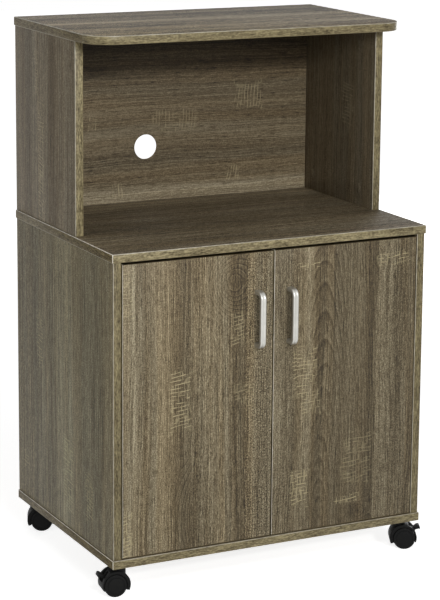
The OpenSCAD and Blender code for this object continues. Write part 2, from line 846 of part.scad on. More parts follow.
module housing(caster) color(nylon) at_caster(caster) {
    web_r = hood_in_r + 0.5;
    difference() {
        union() {
            hood();
            intersection() {
                across([trail, wheel_r], web_r, web_w);
                translate([trail - 2 * web_r, -web_w, wheel_r - 12]) cube([4 * web_r, 2 * web_w, 4 * web_r]);
            }
            translate([0, 0, wheel_r + 6]) cylinder(d = web_w, h = neck_top - wheel_r - 6);
            difference() {
                translate([0, 0, wheel_r + 12]) cylinder(d = neck_d, h = neck_top - wheel_r - 12);
                across([trail, wheel_r], hood_in_r, neck_d + 2 * cut);
            }
        }
        translate([0, 0, stem_low]) cylinder(d = stem_d + 2 * run_fit, h = caster_h);
        across([trail, wheel_r], axle_d / 2 + seat_fit / 2, web_w + 2 * cut);
        if (caster[1] == 0) {
            lever_window(lever_w + 4);
            lever_slot();
            across(lever_pivot, lever_pin_d / 2 + seat_fit / 2, web_w + 2 * cut);
        }
    }
}

module axle(caster) color(steel) at_caster(caster) {
    across([trail, wheel_r], axle_d / 2, 2 * axle_half);
}

// Half section of a wheel: X is the radius and Y runs from the inner face outwards
module wheel_section() {
    edge = 2;
    hub_r = axle_d / 2 + run_fit;
    blind = axle_half - wheel_y + pass_gap;
    difference() {
        union() {
            square([wheel_r - edge, wheel_w]);
            translate([0, edge]) square([wheel_r, wheel_w - 2 * edge]);
            for (y = [edge, wheel_w - edge]) translate([wheel_r - edge, y]) circle(r = edge, $fn = 32);
        }
        translate([-cut, -cut]) square([hub_r + cut, blind + cut]);
        translate([wheel_r - 6, wheel_w - 0.8]) square([1.2, 1.6]);
    }
}

// side is -1 for the wheel at the caster's own -Y side and 1 for the other
module wheel(caster, side) color(nylon) at_caster(caster) {
    translate([trail, side * wheel_y, wheel_r]) rotate([-90 * side, 0, 0]) rotate_extrude() wheel_section();
}

// Outline of the brake lever's paddle, from the wheel's centre
paddle = [
    [17.6, 13.2], [20.5, 14], [23.5, 15.2], [26.5, 16], [28.9, 15.4], [29.4, 17.2], [27.5, 21.3],
    [25.5, 22], [22.5, 20.8], [18.5, 17.6], [17, 16.6]
];

module brake_lever(caster) color(nylon) at_caster(caster) {
    difference() {
        union() {
            across(lever_pivot, lever_root_r, lever_root_w);
            translate([0, lever_root_w / 2, 0]) rotate([90, 0, 0]) linear_extrude(lever_root_w)
                polygon([
                    lever_pivot + [0, lever_root_r], [trail + 17, wheel_r + 16.6], [trail + 19, wheel_r + 14],
                    [trail + 18, wheel_r + 13.4], lever_pivot - [0, lever_root_r]
                ]);
            translate([trail, lever_w / 2, wheel_r]) rotate([90, 0, 0])
                linear_extrude(lever_w) polygon(paddle);
        }
        across(lever_pivot, lever_pin_d / 2 + run_fit, lever_root_w + 2 * cut);
    }
}

module brake_pin(caster) color(steel) at_caster(caster) {
    across(lever_pivot, lever_pin_d / 2, web_w);
}

top_board();
hutch_side(-1);  // hutch_left_side
hutch_side(1);  // hutch_right_side
hutch_back_panel();
counter_board();
cabinet_side(-1);  // cabinet_left_side
cabinet_side(1);  // cabinet_right_side
cabinet_back_panel();
bottom_board();
cabinet_shelf();
shelf_pins();
cam_locks();
cam_covers();
cam_bolts();
wood_dowels();
hinge_plates(-1);  // left_hinge_plates
hinge_plates(1);  // right_hinge_plates
hinge_arms(-1);  // left_hinge_arms
hinge_arms(1);  // right_hinge_arms
hinge_plate_screws();
hinge_arm_screws();
door(-1);  // left_door
handle(-1);  // left_handle
handle_screws(-1);  // left_handle_screws
hinge_cups(-1);  // left_hinge_cups
hinge_pins(-1);  // left_hinge_pins
cup_screws(-1);  // left_cup_screws
door(1);  // right_door
handle(1);  // right_handle
handle_screws(1);  // right_handle_screws
hinge_cups(1);  // right_hinge_cups
hinge_pins(1);  // right_hinge_pins
cup_screws(1);  // right_cup_screws
caster_screws();
caster_plate(FL);  // front_left_plate
housing(FL);  // front_left_housing
axle(FL);  // front_left_axle
wheel(FL, 1);  // front_left_near_wheel
wheel(FL, -1);  // front_left_far_wheel
brake_lever(FL);  // front_left_brake_lever
brake_pin(FL);  // front_left_brake_pin
caster_plate(FR);  // front_right_plate
housing(FR);  // front_right_housing
axle(FR);  // front_right_axle
wheel(FR, -1);  // front_right_near_wheel
wheel(FR, 1);  // front_right_far_wheel
brake_lever(FR);  // front_right_brake_lever
brake_pin(FR);  // front_right_brake_pin
caster_plate(RL);  // rear_left_plate
housing(RL);  // rear_left_housing
axle(RL);  // rear_left_axle
wheel(RL, -1);  // rear_left_near_wheel
wheel(RL, 1);  // rear_left_far_wheel
caster_plate(RR);  // rear_right_plate
housing(RR);  // rear_right_housing
axle(RR);  // rear_right_axle
wheel(RR, -1);  // rear_right_near_wheel
wheel(RR, 1);  // rear_right_far_wheel
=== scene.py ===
# %% [markdown]
# # A kitchen cart, dressed for its picture
# The solids of the cart come ready made, each in its place, in metres. This lesson adds what solids don't
# have: edges that are broken by a hair, a wood print, edge bands, satin metal, moulded nylon, and a plain
# studio. Nothing is moved or resized here. Each step has a short text first and then a cell of code.

import json
import math

import bmesh
import bpy
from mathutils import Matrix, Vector


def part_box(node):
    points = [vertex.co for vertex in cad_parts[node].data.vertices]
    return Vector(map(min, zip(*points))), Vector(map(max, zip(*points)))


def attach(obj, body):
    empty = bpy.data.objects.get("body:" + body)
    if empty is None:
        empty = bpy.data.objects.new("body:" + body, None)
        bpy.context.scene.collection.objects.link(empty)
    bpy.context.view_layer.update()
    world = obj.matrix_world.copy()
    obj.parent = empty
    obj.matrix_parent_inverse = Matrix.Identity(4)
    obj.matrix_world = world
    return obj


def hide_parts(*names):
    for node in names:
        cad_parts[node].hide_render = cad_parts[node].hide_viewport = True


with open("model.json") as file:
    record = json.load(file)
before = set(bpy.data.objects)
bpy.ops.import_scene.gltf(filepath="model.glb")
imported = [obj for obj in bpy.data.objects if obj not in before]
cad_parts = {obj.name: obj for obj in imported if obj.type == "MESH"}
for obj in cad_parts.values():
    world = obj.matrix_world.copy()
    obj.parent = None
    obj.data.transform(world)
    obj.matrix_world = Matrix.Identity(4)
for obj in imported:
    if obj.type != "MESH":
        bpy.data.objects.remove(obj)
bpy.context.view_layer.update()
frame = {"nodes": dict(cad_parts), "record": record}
nodes = frame["nodes"]
body_of = {name: body for body, members in frame["record"]["behaviour"]["bodies"].items() for name in members}

# %% [markdown]
# ## The camera
# The picture was taken from the left, a little above the top board, with a long lens. Its upright lines stay
# nearly upright, which a view camera does by sliding its lens. Blender's shift does the same: the lens looks
# straight ahead while the frame slides down. The numbers come from matching the corners of the boards.

# %% Place the camera
scene = bpy.context.scene
photo_camera = bpy.data.objects.new("photo_camera", bpy.data.cameras.new("photo_camera"))
scene.collection.objects.link(photo_camera)
scene.camera = photo_camera
yaw, pitch, roll = math.radians(26.77), math.radians(11.0), math.radians(0.47)
picture_px, lens_px, slide_px, sensor_mm = 600, 2205.9, 87.5, 36
look = Vector((math.sin(yaw) * math.cos(pitch), math.cos(yaw) * math.cos(pitch), -math.sin(pitch)))
photo_camera.location = (-1.7380, -3.4413, 1.3589)
photo_camera.rotation_euler = look.to_track_quat("-Z", "Y").to_euler()
photo_camera.rotation_euler.rotate_axis("Z", roll)
photo_camera.data.lens = lens_px * sensor_mm / picture_px
photo_camera.data.shift_y = -slide_px / picture_px
photo_camera.data.clip_start, photo_camera.data.clip_end = 0.1, 60
print("lens", round(photo_camera.data.lens, 1), "mm, shift", round(photo_camera.data.shift_y, 3))

# %% [markdown]
# ## The studio
# Furniture like this is shot in a white cove. A small flash box far in front, a little over the top board,
# throws the top board's edge of shadow onto the back panel. A wide box over the front lights the boards that
# face up and fades towards the floor. A wall on the left fills the left side, and the room adds a little.
# A box low behind the cart lights the sides that the picture doesn't show, which would be black without it.
# The white behind the cart is only there for the eye, for gloss and for glass: it adds no light to the wood.

# %% Light the studio
def lamp(name, place, aim, size, power, colour=(1, 1, 1)):
    light = bpy.data.lights.new(name, "AREA")
    light.shape = "RECTANGLE"
    light.size, light.size_y = size
    light.energy = power
    light.color = colour
    held = bpy.data.objects.new(name, light)
    held.location = place
    held.rotation_euler = (Vector(aim) - Vector(place)).to_track_quat("-Z", "Y").to_euler()
    held.visible_camera = False
    scene.collection.objects.link(held)


# name, place, aim, width and height, watts, colour
lamp("front_flash", (0.0, -4.6, 2.25), (0, 0, 0.6), (0.5, 0.3), 70)
lamp("near_front", (-0.30, -1.60, 1.32), (-0.05, -0.1, 0.85), (0.9, 0.35), 11.5)
lamp("left_wall", (-2.8, -0.75, 1.2), (0, 0.05, 0.5), (1.6, 1.8), 14, (0.94, 0.97, 1.0))
lamp("right_back", (2.6, 2.2, 0.45), (0, 0.1, 0.5), (1.6, 0.9), 30)

# %% [markdown]
# ## Small helpers for node trees
# Every material here is a tree of small nodes. Writing each node, socket and wire by itself takes many lines,
# so one helper makes a node and fills its inputs: an input gets a number, or a wire if it's given a socket.
# Others do the same for sums, noise, ramps and mixes. They only save typing, and the trees can be opened and
# read. The three sizes of a noise are its ripples per metre across the grain and along it, and a number that
# keeps the noises of one tree apart.

# %% Node helpers
def add(tree, kind, inputs=None, **settings):
    made = tree.nodes.new(kind)
    for name, value in settings.items():
        setattr(made, name, value)
    for key, value in (inputs or {}).items():
        if isinstance(value, bpy.types.NodeSocket):
            tree.links.new(value, made.inputs[key])
        else:
            made.inputs[key].default_value = value
    return made


def calc(tree, operation, *values, clamp=False):
    made = add(tree, "ShaderNodeMath", dict(enumerate(values)), operation=operation, use_clamp=clamp)
    return made.outputs[0]


def noise(tree, place, scale, detail=1, roughness=0.5):
    stretched = add(tree, "ShaderNodeVectorMath", {0: place, 1: scale}, operation="MULTIPLY").outputs[0]
    made = add(tree, "ShaderNodeTexNoise", {"Vector": stretched, "Scale": 1.0, "Detail": detail,
                                            "Roughness": roughness})
    return made.outputs[0]


def ripple(tree, place, scale, detail=1, roughness=0.5):
    """Noise around zero instead of around a half."""
    return calc(tree, "SUBTRACT", noise(tree, place, scale, detail, roughness), 0.5)


def spread(tree, value, low, high, to_low=0.0, to_high=1.0):
    """A value between low and high, turned softly into one between to_low and to_high."""
    made = add(tree, "ShaderNodeMapRange",
               {"Value": value, "From Min": low, "From Max": high, "To Min": to_low, "To Max": to_high},
               interpolation_type="SMOOTHSTEP")
    return made.outputs[0]


def mix(tree, share, first, second, blend="MIX"):
    made = add(tree, "ShaderNodeMix", {0: share, 6: first, 7: second}, data_type="RGBA", blend_type=blend)
    return made.outputs[2]


def ramp(tree, value, stops, interpolation="LINEAR"):
    """A colour that changes along value: stops is a list of (where, colour), in order."""
    made = add(tree, "ShaderNodeValToRGB", {"Fac": value})
    made.color_ramp.interpolation = interpolation
    elements = made.color_ramp.elements
    for i, (where, colour) in enumerate((stops[0], stops[-1])):
        elements[i].position, elements[i].color = where, colour
    for where, colour in stops[1:-1]:
        elements.new(where).color = colour
    return made.outputs[0]


def start_group(name, inputs, outputs):
    tree = bpy.data.node_groups.new(name, "ShaderNodeTree")
    for label, kind, value in inputs:
        socket = tree.interface.new_socket(label, in_out="INPUT", socket_type="NodeSocket" + kind)
        if value is not None:
            socket.default_value = value
    for label, kind in outputs:
        tree.interface.new_socket(label, in_out="OUTPUT", socket_type="NodeSocket" + kind)
    return tree, tree.nodes.new("NodeGroupInput").outputs, tree.nodes.new("NodeGroupOutput").inputs


def use_group(tree, group, inputs=None):
    return add(tree, "ShaderNodeGroup", inputs, node_tree=group).outputs


def rgb(red, green, blue):
    """A colour as an eye reads it, 0 to 255, turned into the amounts of light that nodes work with."""
    amounts = [((v / 255 + 0.055) / 1.055) ** 2.4 if v > 10 else v / 255 / 12.92 for v in (red, green, blue)]
    return (*amounts, 1)


def new_material(name):
    material = bpy.data.materials.new(name)
    material.use_nodes = True
    tree = material.node_tree
    return material, tree, tree.nodes["Principled BSDF"]


def paint(tree, surface, colour, rough, gloss=0.5):
    """Wires colour and roughness. Gloss is how much light the surface mirrors, and a half is plain."""
    tree.links.new(colour, surface.inputs["Base Color"])
    tree.links.new(rough, surface.inputs["Roughness"])
    surface.inputs["Specular IOR Level"].default_value = gloss


def emboss(tree, surface, height, strength, distance):
    bump = add(tree, "ShaderNodeBump", {"Strength": strength, "Distance": distance, "Height": height})
    tree.links.new(bump.outputs[0], surface.inputs["Normal"])


def for_the_eye(tree):
    """One for rays from the camera, gloss or glass, and zero for those that light things."""
    seen = add(tree, "ShaderNodeLightPath").outputs
    mirrored = calc(tree, "MAXIMUM", seen["Is Glossy Ray"], seen["Is Transmission Ray"])
    return calc(tree, "MAXIMUM", seen["Is Camera Ray"], mirrored)


print("helpers ready")

# %% [markdown]
# ## The oak print
# The boards aren't solid wood. They are pressed board under a printed foil, and the print shows rough-sawn
# oak: grey-brown staves with a hard joint here and there, thin dark late-wood lines, very fine fibres and
# pepper, and pale marks left by the saw, across the grain. A photo of wood would be the usual way to do it.
# Here the print is made from stretched noise, so it has no seams and each board gets its own piece of a log.
#
# The lines follow a real log. A tree's rings are tubes around its heart. A flat board cuts through them at
# some depth, so a point's ring is its distance from the heart: the root of across squared plus depth squared.
# The depth changes slowly along the board, because no log is straight, and that alone gives the arches in
# the middle of a board and straight lines at its sides.

# %% Rings, grain and saw lines
def bent(tree, place):
    """The grain isn't straight: it sways by a centimetre or so, and wobbles a little on the way."""
    wave, wobble = ripple(tree, place, (6, 1.8, 1)), ripple(tree, place, (30, 14, 1))
    bend = calc(tree, "MULTIPLY_ADD", wave, 0.03, calc(tree, "MULTIPLY", wobble, 0.005))
    shift = add(tree, "ShaderNodeCombineXYZ", {"X": bend}).outputs[0]
    return add(tree, "ShaderNodeVectorMath", {0: place, 1: shift}, operation="ADD").outputs[0]


def growth_rings(tree, given, place):
    """A dark line that ends hard, then a pale one, and how strongly both show at this point."""
    parts = add(tree, "ShaderNodeSeparateXYZ", {"Vector": place}).outputs
    across = calc(tree, "SUBTRACT", parts["X"], given["Heart"])
    swell = calc(tree, "MULTIPLY", ripple(tree, place, (3, 2.5, 1)), 0.05)
    depth = calc(tree, "MULTIPLY_ADD", parts["Y"], given["Rise"], calc(tree, "ADD", given["Depth"], swell))
    far = calc(tree, "SQRT", calc(tree, "MULTIPLY_ADD", across, across, calc(tree, "MULTIPLY", depth, depth)))
    ring = calc(tree, "FRACT", calc(tree, "MULTIPLY_ADD", far, given["Rings"], given["Figure"]))
    late = calc(tree, "MULTIPLY", spread(tree, ring, 0.60, 0.90), spread(tree, ring, 0.93, 1.0, 1.0, 0.0))
    pale = calc(tree, "MULTIPLY", spread(tree, ring, 0.0, 0.06), spread(tree, ring, 0.10, 0.24, 1.0, 0.0))
    broken = spread(tree, noise(tree, place, (160, 30, 2)), 0.28, 0.52, 0.2, 1.0)
    broken = calc(tree, "MAXIMUM", broken, calc(tree, "MULTIPLY", given["Clear"], 0.75))
    fade = spread(tree, noise(tree, place, (9, 1.6, 2), 1, 0.4), 0.40, 0.62, 0.1, 1.0)
    fade = calc(tree, "MULTIPLY", calc(tree, "MAXIMUM", fade, given["Clear"]), broken)
    return late, pale, fade


def grain_tone(tree, given, place):
    """Bands, streaks, fibres, dashes and grit, from wide to fine, and calmer where the rings are clear."""
    band = ripple(tree, place, (14, 0.6, 1))
    streak = ripple(tree, place, (105, 0.9, 2), 2, 0.6)
    fibre = ripple(tree, place, (720, 5, 3))
    dash = ripple(tree, place, (780, 85, 5), 0)
    grit = ripple(tree, place, (780, 380, 7), 0)
    tone = calc(tree, "MULTIPLY_ADD", band, 0.50, given["Tone"])
    tone = calc(tree, "MULTIPLY_ADD", streak, 0.15, tone)
    small = calc(tree, "MULTIPLY_ADD", dash, 0.50, calc(tree, "MULTIPLY", fibre, 1.15))
    small = calc(tree, "MULTIPLY_ADD", grit, calc(tree, "MULTIPLY_ADD", given["Pepper"], 0.7, 0.75), small)
    small = calc(tree, "MULTIPLY", small, calc(tree, "MULTIPLY_ADD", given["Clear"], -0.25, 1.0))
    return calc(tree, "MULTIPLY_ADD", small, given["Fine"], tone)


def saw_lines(tree, given):
    """Thin pale lines across the grain, torn here and there, and crossed by pale fibres."""
    marks_per_metre, slant = 150.0, -18.0
    slow = noise(tree, given["Place"], (14, 12, 2))
    spots = add(tree, "ShaderNodeSeparateXYZ", {"Vector": given["Place"]}).outputs
    count = calc(tree, "MULTIPLY_ADD", spots["Y"], marks_per_metre, calc(tree, "MULTIPLY", slow, 3.0))
    count = calc(tree, "MULTIPLY_ADD", spots["X"], slant, count)
    line = calc(tree, "ABSOLUTE", calc(tree, "SUBTRACT", calc(tree, "FRACT", count), 0.5))
    line = spread(tree, line, 0.05, 0.16, 1.0, 0.0)
    torn = spread(tree, noise(tree, given["Place"], (60, 160, 3), 3, 0.65), 0.42, 0.56)
    cross = spread(tree, noise(tree, given["Place"], (380, 45, 4)), 0.54, 0.68, 0.0, 0.55)
    shown = calc(tree, "MAXIMUM", calc(tree, "MULTIPLY", line, torn), cross)
    return calc(tree, "MULTIPLY", shown, given["Saw marks"])


print("rings, grain and saw lines ready")

# %% The oak print as a node group
OAK = ((0.0, rgb(45, 38, 28)), (0.26, rgb(77, 66, 47)), (0.50, rgb(107, 95, 72)), (0.76, rgb(139, 127, 101)),
       (1.0, rgb(178, 166, 136)))
SAWN = rgb(194, 181, 142)
WARM, GREENISH = (1.025, 0.99, 0.95, 1), (0.98, 1.0, 1.04, 1)


def make_oak_print():
    tree, given, out = start_group(
        "oak_print",
        [("Place", "Vector", None), ("Heart", "Float", 0.0), ("Depth", "Float", 0.05), ("Rise", "Float", 0.05),
         ("Rings", "Float", 70.0), ("Figure", "Float", 0.0), ("Tone", "Float", 0.0),
         ("Clear", "Float", 0.0), ("Saw marks", "Float", 0.0), ("Pepper", "Float", 0.0),
         ("Fine", "Float", 1.0), ("Contrast", "Float", 1.0)],
        [("Color", "Color"), ("Tone", "Float"), ("Height", "Float")])
    place = bent(tree, given["Place"])
    late, pale, fade = growth_rings(tree, given, place)
    pore = spread(tree, noise(tree, place, (640, 40, 9), 0), 0.62, 0.74)
    late_depth = calc(tree, "MULTIPLY_ADD", given["Clear"], -0.18, -0.08)
    pale_height = calc(tree, "MULTIPLY_ADD", given["Clear"], 0.08, 0.05)
    tone = grain_tone(tree, given, place)
    tone = calc(tree, "MULTIPLY_ADD", calc(tree, "MULTIPLY", late, fade), late_depth, tone)
    tone = calc(tree, "MULTIPLY_ADD", calc(tree, "MULTIPLY", pale, fade), pale_height, tone)
    tone = calc(tree, "MULTIPLY_ADD", pore, -0.20, tone)
    tone = calc(tree, "MULTIPLY_ADD", tone, given["Contrast"], 0.54)
    # some streaks of the log are warmer, others greener
    hue = spread(tree, noise(tree, place, (38, 1.2, 4), 2), 0.36, 0.64)
    colour = mix(tree, 1.0, ramp(tree, tone, OAK), mix(tree, hue, WARM, GREENISH), "MULTIPLY")
    saw = saw_lines(tree, given)
    colour = mix(tree, calc(tree, "MULTIPLY", saw, 0.86, clamp=True), colour, SAWN)
    tree.links.new(colour, out["Color"])
    tree.links.new(tone, out["Tone"])
    rough = calc(tree, "MULTIPLY_ADD", pore, -0.6, calc(tree, "MULTIPLY", late, -0.25))
    tree.links.new(calc(tree, "MULTIPLY_ADD", saw, 0.35, rough), out["Height"])
    return tree


oak_print = make_oak_print()
print("oak_print has", len(oak_print.nodes), "nodes")

# %% [markdown]
# ## Knots and saw marks at chosen places
# On the real doors a few features catch the eye: arches over the left handle, a knot low on the right door,
# and blocks of saw marks. A knot is a smooth hill that is added to the height of the oak print, so its lines
# close into rings around it. A block of saw marks is a ragged rectangle. Both are groups with a centre and a
# size, in metres on the board, and a board may have as many as it needs.

# %% Knot and saw groups
def make_knot():
    tree, given, out = start_group(
        "knot_rings",
        [("Place", "Vector", None), ("Centre", "Vector", None), ("Size", "Vector", (0.03, 0.05, 1.0)),
         ("Rings", "Float", 4.0)], [("Figure", "Float")])
    away = add(tree, "ShaderNodeVectorMath", {0: given["Place"], 1: given["Centre"]}, operation="SUBTRACT")
    flat = add(tree, "ShaderNodeVectorMath", {0: away.outputs[0], 1: (1, 1, 0)}, operation="MULTIPLY")
    share = add(tree, "ShaderNodeVectorMath", {0: flat.outputs[0], 1: given["Size"]}, operation="DIVIDE")
    square = add(tree, "ShaderNodeVectorMath", {0: share.outputs[0], 1: share.outputs[0]},
                 operation="DOT_PRODUCT").outputs["Value"]
    hill = calc(tree, "EXPONENT", calc(tree, "MULTIPLY", square, -1.0))
    tree.links.new(calc(tree, "MULTIPLY", hill, given["Rings"]), out["Figure"])
    return tree


def make_saw_block():
    tree, given, out = start_group(
        "saw_block",
        [("Place", "Vector", None), ("Centre", "Vector", None), ("Size", "Vector", (0.03, 0.05, 1.0)),
         ("Strength", "Float", 1.0)], [("Saw marks", "Float")])
    away = add(tree, "ShaderNodeVectorMath", {0: given["Place"], 1: given["Centre"]}, operation="SUBTRACT")
    share = add(tree, "ShaderNodeVectorMath", {0: away.outputs[0], 1: given["Size"]}, operation="DIVIDE")
    parts = add(tree, "ShaderNodeSeparateXYZ", {"Vector": share.outputs[0]}).outputs
    far = calc(tree, "MAXIMUM", calc(tree, "ABSOLUTE", parts["X"]), calc(tree, "ABSOLUTE", parts["Y"]))
    ragged = ripple(tree, given["Place"], (30, 60, 3), 2, 0.6)
    far = calc(tree, "ADD", far, calc(tree, "MULTIPLY", ragged, 1.1))
    mask = spread(tree, far, 0.75, 1.1, 1.0, 0.0)
    tree.links.new(calc(tree, "MULTIPLY", mask, given["Strength"]), out["Saw marks"])
    return tree


knot_rings = make_knot()
saw_block = make_saw_block()
print("knot_rings and saw_block ready")

# %% [markdown]
# ## The foil on each board
# The grain runs up the doors and side panels, and along the top, the counter and the back panels. So each
# board says which way is across its grain, which way is along it, and where in the log its print was taken.
# It also says where the print's light and dark bands lie, and where a stave ends: past a joint the print
# jumps to another log, which a ramp with constant steps does. The foil has a low sheen with small dull
# pores. A bump from the print's own height keeps light and print together.

# %% Foil materials
def stepped(tree, value, steps, interpolation):
    """A number that changes along value: steps is a list of (where, number), from -0.5 to 0.5."""
    stops = [(where + 0.5, (number, number, number, 1)) for where, number in steps]
    return ramp(tree, calc(tree, "ADD", value, 0.5), stops, interpolation)


def between(tree, value, low, high):
    return calc(tree, "MULTIPLY", calc(tree, "GREATER_THAN", value, low), calc(tree, "LESS_THAN", value, high))


def oak_foil(name, across, along, log_at, heart=0.0, depth=0.05, rise=0.05, rings=75.0, joints=(), bands=(),
             middle=0.0, lean=0.0, clear_zones=(), knots=(), saws=(), pepper=(), fine=1.0, contrast=1.0,
             light=(1, 1, 1)):
    material, tree, surface = new_material(name)
    where = add(tree, "ShaderNodeTexCoord").outputs["Object"]
    parts = add(tree, "ShaderNodeSeparateXYZ", {"Vector": where}).outputs
    wide, long = parts[across], parts[along]
    through = next(a for a in "XYZ" if a not in (across, along))
    seed = calc(tree, "MULTIPLY_ADD", parts[through], 30.0, log_at)
    tone = 0.0
    if joints:
        jumps = [(-0.5, 0.0)] + [(at, (i * 0.37) % 1.0 + 0.1) for i, (at, _) in enumerate(joints)]
        seed = calc(tree, "MULTIPLY_ADD", stepped(tree, wide, jumps, "CONSTANT"), 50.0, seed)
        tone = calc(tree, "SUBTRACT", stepped(tree, wide, [(-0.5, 0.5), *joints], "CONSTANT"), 0.5)
    place = add(tree, "ShaderNodeCombineXYZ", {"X": wide, "Y": long, "Z": seed}).outputs[0]
    if bands:
        sway = ripple(tree, place, (6, 3, 1))
        upright = calc(tree, "SUBTRACT", calc(tree, "MULTIPLY_ADD", long, -lean, wide), middle)
        swayed = calc(tree, "MULTIPLY_ADD", sway, 0.02, upright)
        tone = calc(tree, "ADD", tone, calc(tree, "SUBTRACT", stepped(tree, swayed, bands, "EASE"), 0.5))
    figure = marks = grit = clear = 0.0
    for low, high in clear_zones:
        clear = calc(tree, "MAXIMUM", calc(tree, "MULTIPLY", between(tree, wide, low, high), 0.7), clear)
    for x, y, size_x, size_y, count, dark, low, high in knots:
        hill = use_group(tree, knot_rings, {"Place": place, "Centre": (x, y, 0), "Size": (size_x, size_y, 1),
                                            "Rings": count})["Figure"]
        held = calc(tree, "MULTIPLY", hill, between(tree, wide, low, high))
        tone = calc(tree, "MULTIPLY_ADD", spread(tree, held, 0.6 * count, count), -dark, tone)
        figure = calc(tree, "ADD", held, figure)
        clear = calc(tree, "MAXIMUM", spread(tree, held, 0.05 * count, 0.4 * count, 0.0, 0.85), clear)
    for x, y, size_x, size_y, strength in saws:
        block = use_group(tree, saw_block, {"Place": place, "Centre": (x, y, 0), "Size": (size_x, size_y, 1e9),
                                            "Strength": strength})["Saw marks"]
        marks = calc(tree, "MAXIMUM", marks, block)
    for low, high, strength in pepper:
        grit = calc(tree, "MULTIPLY_ADD", between(tree, wide, low, high), strength, grit)
    printed = use_group(tree, oak_print, {
        "Place": place, "Heart": heart, "Depth": depth, "Rise": rise, "Rings": rings, "Figure": figure,
        "Tone": tone, "Clear": clear, "Saw marks": marks, "Pepper": grit, "Fine": fine, "Contrast": contrast})
    paint(tree, surface, mix(tree, 1.0, printed["Color"], (*light, 1), "MULTIPLY"),
          spread(tree, printed["Tone"], 0.1, 0.9, 0.64, 0.52), gloss=0.25)
    emboss(tree, surface, printed["Height"], 0.25, 0.0004)
    return material


print("foil ready")

# %% [markdown]
# ## The print of each board
# Every place below is in metres, as measured on the picture. Joints are (where a stave starts, its tone) and
# bands are (where, tone), with a half for no change. Knots are (across, along, two sizes, rings, how dark, and
# the stave's two sides). Saws are (across, along, two sizes, strength).

